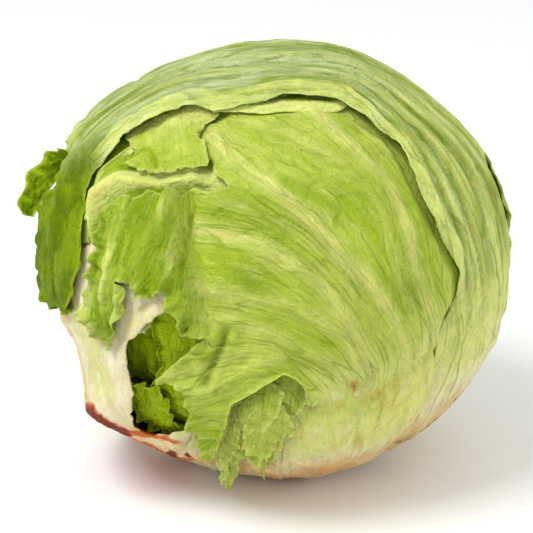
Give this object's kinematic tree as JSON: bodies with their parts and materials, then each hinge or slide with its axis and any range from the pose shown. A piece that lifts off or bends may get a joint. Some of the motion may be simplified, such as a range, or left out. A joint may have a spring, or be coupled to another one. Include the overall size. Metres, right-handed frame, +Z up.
{
  "type": "iceberg lettuce",
  "caption": "Whole head of iceberg lettuce with torn wrapper leaves, standing on the cut face of its stem.",
  "frame": {"origin": "under the middle of the head's box, on the surface that the cut stem rests on", "axes": "+Z up through the head from its cut stem, -Y out of the face with the torn wrapper leaves, +X to that face's right"},
  "size_m": [0.1694, 0.1556, 0.1471],
  "materials": {
    "wrapper_green": "waxy mid green leaf with a pale bloom and pale pleated ribs",
    "face_green": "bright yellow green leaf with pale ribs and fine dark veins",
    "deep_green": "dark green leaf, shaded",
    "pale_leaf": "pale green to cream leaf base, browned along its lower edge",
    "white_base": "thick white leaf base with a red brown cut edge",
    "cut_stem": "cut stem, browned"
  },
  "bodies": {
    "root": {"stem": "cut_stem", "heart": "deep_green", "leaf_crown": "wrapper_green", "leaf_front": "face_green", "leaf_shoulder": "face_green", "leaf_fold": "face_green", "leaf_tips": "face_green", "leaf_lower": "pale_leaf", "leaf_base_left": "white_base", "leaf_curl_left": "deep_green", "leaf_back": "wrapper_green", "leaf_edge_right": "wrapper_green", "leaf_inner_left": "deep_green", "leaf_inner_right": "deep_green"}
  },
  "joints": []
}
